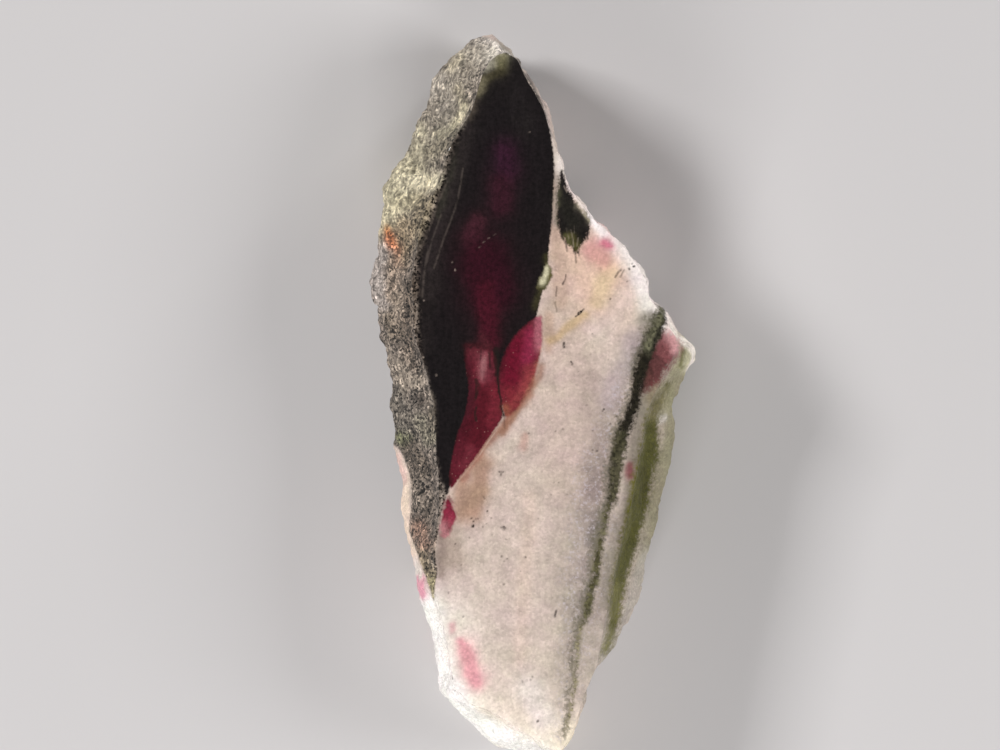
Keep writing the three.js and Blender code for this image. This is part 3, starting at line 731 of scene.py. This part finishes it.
for name, base, strokes in [
    ("pale_tone", "#d0beb2", PALE_STROKES),
    ("black_tone", "#161213", BLACK_STROKES),
    ("broken_tone", "#6c625a", BROKEN_STROKES),
    ("crystal_tone", "#5f1b27", CRYSTAL_STROKES),
    ("vein_tone", "#201d15", VEIN_STROKES),
    ("olive_tone", "#525019", OLIVE_STROKES),
    ("notch_tone", "#3f3a1e", NOTCH_STROKES),
]:
    store_colour(stone, name, painted(grown, base, strokes))


# ---------------------------------------------------------------- the stone's own map

faces = stone.data.polygons
face_size = np.empty(len(faces), np.int32)
faces.foreach_get("loop_total", face_size)
corner_point = np.empty(len(stone.data.loops), np.int32)
stone.data.loops.foreach_get("vertex_index", corner_point)
corner_face = np.repeat(np.arange(len(faces)), face_size)
lean = np.empty(len(stone.data.vertices) * 3, np.float32)
stone.data.attributes["lean"].data.foreach_get("vector", lean)


def face_average(values):
    """Averages a value over each face and gives it back for each face corner."""
    return (np.bincount(corner_face, values[corner_point]) / face_size)[corner_face]


lean_x, lean_y, lean_z = (face_average(part) for part in lean.reshape(-1, 3).T)
middle_x, middle_y = face_average(points[:, 0]), face_average(points[:, 1])
x, y, z = points[corner_point].T
faces_sideways = np.abs(lean_x) >= np.abs(lean_y)
row = np.where(faces_sideways, 2 * (lean_x > 0) + (middle_y > 0), 2 * (lean_y > 0) + (middle_x > 0))
along_side = RIGHT_COLUMN + np.where(middle_y > 0, y, y + HALF_LENGTH) * EDGE_SCALE
along_end = END_COLUMN + np.where(middle_x > 0, x, x + HALF_WIDTH) * EDGE_SCALE
u = np.where(faces_sideways, along_side, along_end)
v = FIRST_ROW + ROW_STEP * row + z * EDGE_SCALE
faces_up = lean_z > FACES_UP
faces_down = lean_z < -FACES_UP
u = np.where(faces_up, MAP_MARGIN + (x + HALF_WIDTH) * TOP_SCALE, u)
v = np.where(faces_up, MAP_MARGIN + (y + HALF_LENGTH) * TOP_SCALE, v)
u = np.where(faces_down, RIGHT_COLUMN + (y + HALF_LENGTH) * UNDER_SCALE, u)
v = np.where(faces_down, MAP_MARGIN + (x + HALF_WIDTH) * UNDER_SCALE, v)
own_map = stone.data.uv_layers.new(name="OFBake")
own_map.uv.foreach_set("vector", np.stack([u, v], 1).astype(np.float32).ravel())


# ---------------------------------------------------------------- material

# Nepheline syenite: sugary white feldspar, fine black amphibole and crimson eudialyte.
# Its face is ground and polished to a wet gloss, and its sides and tip are broken and dull.
material = bpy.data.materials.new("polished_syenite_with_eudialyte")
material.use_nodes = True
tree = material.node_tree
tree.nodes.clear()


def add(kind, inputs=None, **settings):
    """Adds one node, sets its properties, and fills or links its inputs by name or number.

    MapRange takes 0 a value, 1 and 2 the range it is read in, 3 and 4 the range it is given in.
    Mix takes 0 the share of the second of 2 and 3, which are numbers, or of 6 and 7, colours.
    """
    made = tree.nodes.new("ShaderNode" + kind)
    for name, value in settings.items():
        setattr(made, name, value)
    for key, value in (inputs or {}).items():
        if isinstance(value, bpy.types.NodeSocket):
            tree.links.new(value, made.inputs[key])
        else:
            made.inputs[key].default_value = value
    return made


def zone(name, soft, wobble):
    """Mask of a mineral zone from its stored depth, with a ragged edge."""
    depth = add("Attribute", attribute_name=name).outputs["Fac"]
    ragged = add("Math", {0: wobble, 1: depth}, operation="ADD").outputs[0]
    return add("MapRange", {0: ragged, 1: -soft, 2: soft}, interpolation_type="SMOOTHSTEP").outputs[0]


def toned(name, gain):
    """The stored colour of a mineral, made brighter or darker by a gain."""
    tone = add("Attribute", attribute_name=name).outputs["Color"]
    return add("VectorMath", {0: tone, "Scale": gain}, operation="SCALE").outputs[0]


place = add("TexCoord").outputs["Object"]
height = add("SeparateXYZ", {0: place}).outputs["Z"]
face_start, face_end = (THICKNESS - 0.07) * MM, (THICKNESS - 0.015) * MM
on_face = add("MapRange", {0: height, 1: face_start, 2: face_end}).outputs[0]
on_back = add("MapRange", {0: height, 1: 0.04 * MM, 2: 0.01 * MM}).outputs[0]
on_flat = add("Math", {0: on_face, 1: on_back}, operation="MAXIMUM").outputs[0]

# Patterns that the minerals share: specks of 0.2 to 0.6 mm, and streaks 0.35 mm wide and 2.2 mm long.
fine = add("TexNoise", {"Vector": place, "Scale": 1 / (0.22 * MM), "Detail": 2.0}).outputs[0]
medium = add("TexNoise", {
    "Vector": place,
    "Scale": 1 / (0.6 * MM),
    "Detail": 4.0,
    "Roughness": 0.6,
}).outputs[0]
crumbs = add("TexNoise", {
    "Vector": place,
    "Scale": 1 / (0.3 * MM),
    "Detail": 3.0,
    "Roughness": 0.75,
}).outputs[0]
streak_place = add("Mapping", {
    "Vector": place,
    "Rotation": (0, 0, 0.12),
    "Scale": (1.0, 0.16, 1.0),
}).outputs[0]
streaks = add("TexNoise", {"Vector": streak_place, "Scale": 1 / (0.35 * MM), "Detail": 3.0}).outputs[0]
grain = add("TexVoronoi", {"Vector": place, "Scale": 1 / (0.2 * MM)}).outputs["Color"]
grain_value = add("SeparateXYZ", {0: grain}).outputs["X"]

# Edges of the minerals, which these patterns move in and out by 0.05 to 0.36 mm.
clean_edge = add("MapRange", {0: fine, 1: 0.3, 2: 0.7, 3: -0.05, 4: 0.05}).outputs[0]
ragged_edge = add("MapRange", {0: medium, 1: 0.3, 2: 0.7, 3: -0.14, 4: 0.14}).outputs[0]
grain_edge = add("MapRange", {0: grain_value, 1: 0.0, 2: 1.0, 3: -0.22, 4: 0.22}).outputs[0]
speckled_edge = add("Math", {0: ragged_edge, 1: grain_edge}, operation="ADD").outputs[0]
fuzz = add("MapRange", {0: crumbs, 1: 0.3, 2: 0.7, 3: -0.16, 4: 0.16}).outputs[0]
fuzzy_edge = add("Math", {0: ragged_edge, 1: fuzz}, operation="ADD").outputs[0]
frayed_edge = add("MapRange", {0: streaks, 1: 0.3, 2: 0.7, 3: -0.14, 4: 0.14}).outputs[0]
patch_edge = add("Math", {0: frayed_edge, 1: fuzz}, operation="ADD").outputs[0]

# Pale rock: sugary grains of 0.22 mm, clouds of 1.3 mm, and drifts of 2.8 mm that are
# greenish in some places and faintly rosy in others.
cloudy = add("TexNoise", {
    "Vector": place,
    "Scale": 1 / (1.3 * MM),
    "Detail": 6.0,
    "Roughness": 0.7,
}).outputs[0]
cloud_gain = add("MapRange", {0: cloudy, 1: 0.3, 2: 0.7, 3: 0.83, 4: 1.16}).outputs[0]
sugar = add("TexVoronoi", {"Vector": place, "Scale": 1 / (0.22 * MM)}).outputs["Color"]
sugar_value = add("SeparateXYZ", {0: sugar}).outputs["X"]
sugar_gain = add("MapRange", {0: sugar_value, 1: 0.0, 2: 1.0, 3: 0.9, 4: 1.08}).outputs[0]
dust_gain = add("MapRange", {0: fine, 1: 0.3, 2: 0.7, 3: 0.92, 4: 1.07}).outputs[0]
long_gain = add("MapRange", {0: streaks, 1: 0.3, 2: 0.7, 3: 0.95, 4: 1.05}).outputs[0]
# Where the rock is broken, single grains catch the light too.
facet_gain = add("MapRange", {0: grain_value, 1: 0.0, 2: 1.0, 3: 0.9, 4: 1.08}).outputs[0]
facet_gain = add("Mix", {0: on_flat, 2: facet_gain, 3: 1.0}).outputs[0]
mottle = sugar_gain
for gain in (cloud_gain, dust_gain, long_gain, facet_gain):
    mottle = add("Math", {0: mottle, 1: gain}, operation="MULTIPLY").outputs[0]
hue_drift = add("TexNoise", {
    "Vector": place,
    "Scale": 1 / (2.8 * MM),
    "Detail": 4.0,
    "Roughness": 0.65,
}).outputs[0]
tint_amount = add("MapRange", {0: hue_drift, 1: 0.35, 2: 0.65}).outputs[0]
green_tint = (0.97, 1.0, 0.97, 1.0)
rosy_tint = (1.0, 0.975, 1.02, 1.0)
tint = add("Mix", {0: tint_amount, 6: green_tint, 7: rosy_tint}, data_type="RGBA").outputs[2]
pale = toned("pale_tone", mottle)
pale = add("VectorMath", {0: pale, 1: tint}, operation="MULTIPLY").outputs[0]

# Olive band, crumbling into the pale rock.
olive_gain = add("MapRange", {0: crumbs, 1: 0.3, 2: 0.7, 3: 0.78, 4: 1.22}).outputs[0]
olive_gain = add("Math", {0: olive_gain, 1: mottle}, operation="MULTIPLY").outputs[0]
olive = toned("olive_tone", olive_gain)

# Dark vein, with a grey dusting beside it and an olive fringe on its left. Beside it lie pale
# bluish flecks too: partly frosty grains, partly a painted sheen on the polish.
vein_gain = add("MapRange", {0: medium, 1: 0.35, 2: 0.65, 3: 0.75, 4: 1.3}).outputs[0]
vein_speckle = add("MapRange", {0: grain_value, 1: 0.0, 2: 1.0, 3: 0.55, 4: 1.6}).outputs[0]
vein_gain = add("Math", {0: vein_gain, 1: vein_speckle}, operation="MULTIPLY").outputs[0]
vein = toned("vein_tone", vein_gain)
halo_depth = add("Attribute", attribute_name="vein_halo").outputs["Fac"]
halo_depth = add("Math", {0: halo_depth, 1: speckled_edge}, operation="ADD").outputs[0]
halo_share = add("MapRange", {0: halo_depth, 1: -0.2, 2: 1.7, 3: 0.0, 4: 0.43}).outputs[0]
halo_clouds = add("MapRange", {0: medium, 1: 0.35, 2: 0.65, 3: 1.35, 4: 0.6}).outputs[0]
halo_share = add("Math", {0: halo_share, 1: halo_clouds}, operation="MULTIPLY").outputs[0]
# Pale bluish flecks, partly frosty grains, partly a painted sheen on the polish.
frost_and_sheen_place = add("MapRange", {0: halo_depth, 1: -0.6, 2: 0.8}).outputs[0]
frost_and_sheen_share = add("MapRange", {0: crumbs, 1: 0.52, 2: 0.68, 3: 0.0, 4: 0.6}).outputs[0]
frost_and_sheen_share = add("Math", {0: frost_and_sheen_share, 1: frost_and_sheen_place}, operation="MULTIPLY").outputs[0]
fringe_depth = add("Attribute", attribute_name="vein_fringe").outputs["Fac"]
fringe_depth = add("Math", {0: fringe_depth, 1: speckled_edge}, operation="ADD").outputs[0]
fringe_share = add("MapRange", {0: fringe_depth, 1: -0.3, 2: 0.15, 3: 0.0, 4: 0.6}).outputs[0]

# Black amphibole rock where polished: near black with a greenish cast, full of fine needles.
streak_gain = add("MapRange", {0: streaks, 1: 0.3, 2: 0.7, 3: 0.85, 4: 1.2}).outputs[0]
needle_gain = add("MapRange", {0: crumbs, 1: 0.3, 2: 0.7, 3: 0.6, 4: 1.5}).outputs[0]
needle_gain = add("Math", {0: streak_gain, 1: needle_gain}, operation="MULTIPLY").outputs[0]
black = toned("black_tone", needle_gain)

# The same rock where broken: clumps of 0.36 mm, and salt and pepper grains of 0.18 mm.
# Where it is paler, soft blebs of 0.5 mm take their place. Streaks cross both, painted lighter
# and darker as the light and shade of small ridges.
cobbles = add("TexVoronoi", {"Vector": place, "Scale": 1 / (0.36 * MM)}).outputs["Color"]
cobble_value = add("SeparateXYZ", {0: cobbles}).outputs["Y"]
cobble_gain = add("MapRange", {0: cobble_value, 1: 0.0, 2: 1.0, 3: 0.55, 4: 1.45}).outputs[0]
salt = add("TexVoronoi", {"Vector": place, "Scale": 1 / (0.18 * MM)})
salt_value = add("SeparateXYZ", {0: salt.outputs["Color"]}).outputs["X"]
salt_gain = add("MapRange", {0: salt_value, 1: 0.1, 2: 1.0, 3: 0.05, 4: 2.45}).outputs[0]
dark_clouds = add("MapRange", {0: medium, 1: 0.3, 2: 0.7, 3: 0.55, 4: 1.5}).outputs[0]
salt_gain = add("Math", {0: salt_gain, 1: cobble_gain}, operation="MULTIPLY").outputs[0]
salt_gain = add("Math", {0: salt_gain, 1: dark_clouds}, operation="MULTIPLY").outputs[0]
broken_tone = add("Attribute", attribute_name="broken_tone").outputs["Color"]
brightness = add("SeparateXYZ", {0: broken_tone}).outputs["Y"]
evenness = add("MapRange", {0: brightness, 1: 0.08, 2: 0.35, 3: 0.0, 4: 0.66}).outputs[0]
blebs = add("TexNoise", {"Vector": place, "Scale": 1 / (0.5 * MM), "Detail": 2.0}).outputs[0]
bleb_gain = add("MapRange", {0: blebs, 1: 0.36, 2: 0.64, 3: 0.5, 4: 1.5}).outputs[0]
broken_gain = add("Mix", {0: evenness, 2: salt_gain, 3: bleb_gain}).outputs[0]
# Painted light and shade of small streaky ridges.
ridge_light_and_shade_gain = add("MapRange", {0: streaks, 1: 0.34, 2: 0.66, 3: 0.62, 4: 1.42}).outputs[0]
broken_gain = add("Math", {0: broken_gain, 1: ridge_light_and_shade_gain}, operation="MULTIPLY").outputs[0]
broken_rock = add("VectorMath", {0: broken_tone, "Scale": broken_gain}, operation="SCALE").outputs[0]

# It is polished on the face, but for the grainy rim, and on the back.
grainy = add("Attribute", attribute_name="grainy").outputs["Fac"]
smooth_share = add("Math", {0: 1.0, 1: grainy}, operation="SUBTRACT").outputs[0]
polished_share = add("Math", {0: on_face, 1: smooth_share}, operation="MULTIPLY").outputs[0]
polished_share = add("Math", {0: polished_share, 1: on_back}, operation="MAXIMUM").outputs[0]
dark = add("Mix", {0: polished_share, 6: broken_rock, 7: black}, data_type="RGBA").outputs[2]

# Eudialyte: glassy crimson crystals, cloudy and grainy, with pinprick glints inside.
glass_gain = add("MapRange", {0: crumbs, 1: 0.3, 2: 0.7, 3: 0.68, 4: 1.38}).outputs[0]
pinpricks = add("TexVoronoi", {"Vector": place, "Scale": 1 / (0.3 * MM)})
glint_core = add("MapRange", {0: pinpricks.outputs["Distance"], 1: 0.05, 2: 0.26, 3: 0.3, 4: 0.0}).outputs[0]
glint_pick = add("SeparateXYZ", {0: pinpricks.outputs["Color"]}).outputs["X"]
glint_pick = add("MapRange", {0: glint_pick, 1: 0.72, 2: 1.0}).outputs[0]
glint_share = add("Math", {0: glint_core, 1: glint_pick}, operation="MULTIPLY").outputs[0]
crystal = toned("crystal_tone", glass_gain)
crystal = add("Mix", {0: glint_share, 6: crystal, 7: linear("#d9a79a")}, data_type="RGBA").outputs[2]
notch = toned("notch_tone", glass_gain)

# Hairlines with painted glints and highlights, and cracks, broken up along their length.
hairline_gaps = add("MapRange", {0: medium, 1: 0.38, 2: 0.52, 3: 0.3, 4: 1.0}).outputs[0]
pale_marks = add("Attribute", attribute_name="pale_marks").outputs["Fac"]
pale_marks = add("Math", {0: pale_marks, 1: hairline_gaps}, operation="MULTIPLY").outputs[0]
crack_gaps = add("MapRange", {0: fine, 1: 0.36, 2: 0.5, 3: 0.6, 4: 1.0}).outputs[0]
dark_marks = add("Attribute", attribute_name="dark_marks").outputs["Fac"]
dark_marks = add("Math", {0: dark_marks, 1: crack_gaps}, operation="MULTIPLY").outputs[0]

layers = [
    (linear("#625a5a"), halo_share),
    # Pale flecks beside the vein, partly a painted sheen.
    (linear("#cbc1c8"), frost_and_sheen_share),
    (linear("#57543e"), fringe_share),
    (olive, zone("olive_band", 0.42, fuzzy_edge)),
    (crystal, zone("blotch", 0.5, fuzzy_edge)),
    (vein, zone("vein", 0.26, fuzzy_edge)),
    (dark, zone("dark_rock", 0.1, clean_edge)),
    (black, zone("black_patch", 0.2, patch_edge)),
    (crystal, zone("left_crystal", 0.1, clean_edge)),
    (crystal, zone("right_crystal", 0.16, clean_edge)),
    (crystal, zone("small_crystal", 0.2, ragged_edge)),
    (notch, zone("notch_crystal", 0.14, ragged_edge)),
    (linear("#d9c4b4"), pale_marks),
    (linear("#1f1a16"), dark_marks),
]
colour = pale
for over, mask in layers:
    colour = add("Mix", {0: mask, 6: colour, 7: over}, data_type="RGBA").outputs[2]

# Wet gloss on the face, dull elsewhere. Fine grains stand up on the broken sides, and the
# saw has left faint marks 2 mm apart on the back. A wave repeats every pi / 10 of its scale.
gloss = add("MapRange", {0: on_face, 3: DULL, 4: POLISHED}).outputs[0]
relief_depth = add("MapRange", {0: on_face, 3: 1.0, 4: 0.0}).outputs[0]
grain_height = add("MapRange", {0: salt.outputs["Distance"], 1: 0.0, 2: 0.8, 3: 1.0, 4: 0.0}).outputs[0]
saw_scale = math.pi / 10 / (SAW_MARK_STEP * MM)
saw_marks = add("TexWave", {"Vector": place, "Scale": saw_scale, "Distortion": 0.4}).outputs["Fac"]
saw_marks = add("MapRange", {0: saw_marks, 1: 0.0, 2: 1.0, 3: 0.0, 4: 0.35}).outputs[0]
grain_height = add("Mix", {0: on_back, 2: grain_height, 3: saw_marks}).outputs[0]
relief = add("Bump", {"Strength": relief_depth, "Distance": 0.06 * MM, "Height": grain_height}).outputs[0]
surface = add("BsdfPrincipled", {
    "Base Color": colour,
    "Roughness": gloss,
    "IOR": 1.5,
    "Normal": relief,
})
add("OutputMaterial", {"Surface": surface.outputs[0]})

stone.data.materials.clear()
stone.data.materials.append(material)
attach(stone, "root")
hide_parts("eudialyte_slab")


# ---------------------------------------------------------------- floor, light and camera

bpy.ops.object.select_all(action="DESELECT")
bpy.ops.mesh.primitive_plane_add(size=1.6, location=(0, 0, -0.0001))
floor = bpy.context.object
floor.name = "floor"
floor_material = bpy.data.materials.new("matt_paper")
floor_material.use_nodes = True
paper = floor_material.node_tree.nodes["Principled BSDF"]
paper.inputs["Base Color"].default_value = linear("#c9c6c6")
paper.inputs["Roughness"].default_value = 0.9
floor.data.materials.append(floor_material)


def softbox(name, where, width, power):
    """A square soft light that faces the stone, in metres and watts."""
    lamp = bpy.data.lights.new(name, "AREA")
    lamp.size = width
    lamp.energy = power
    holder = bpy.data.objects.new(name, lamp)
    bpy.context.scene.collection.objects.link(holder)
    holder.location = where
    holder.rotation_euler = holder.location.to_track_quat("Z", "Y").to_euler()


# The low rim and foot lights stand for the glow of the stone's thin edges.
softbox("key_softbox", (-0.4, 0.2, 0.38), 0.14, 2.3)
softbox("right_softbox", (0.38, 0.0, 0.3), 0.2, 1.0)
softbox("foot_softbox", (-0.04, -0.22, 0.12), 0.1, 0.36)
softbox("rim_softbox", (0.32, 0.36, 0.1), 0.12, 0.75)

world = bpy.data.worlds.new("dim_studio")
world.use_nodes = True
backdrop = world.node_tree.nodes["Background"]
backdrop.inputs["Color"].default_value = (1.0, 0.98, 0.98, 1.0)
backdrop.inputs["Strength"].default_value = 0.1
bpy.context.scene.world = world
bpy.context.scene.view_settings.view_transform = "Standard"

# The camera looks straight down on the face.
camera_data = bpy.data.cameras.new("camera")
camera_data.sensor_width = 36
camera_data.lens = camera_data.sensor_width * EYE_HEIGHT / VIEW_WIDTH
camera_data.clip_start = 0.01
camera_data.clip_end = 10
camera = bpy.data.objects.new("camera", camera_data)
bpy.context.scene.collection.objects.link(camera)
camera.location = (VIEW_X * MM, VIEW_Y * MM, (THICKNESS + EYE_HEIGHT) * MM)
bpy.context.scene.camera = camera
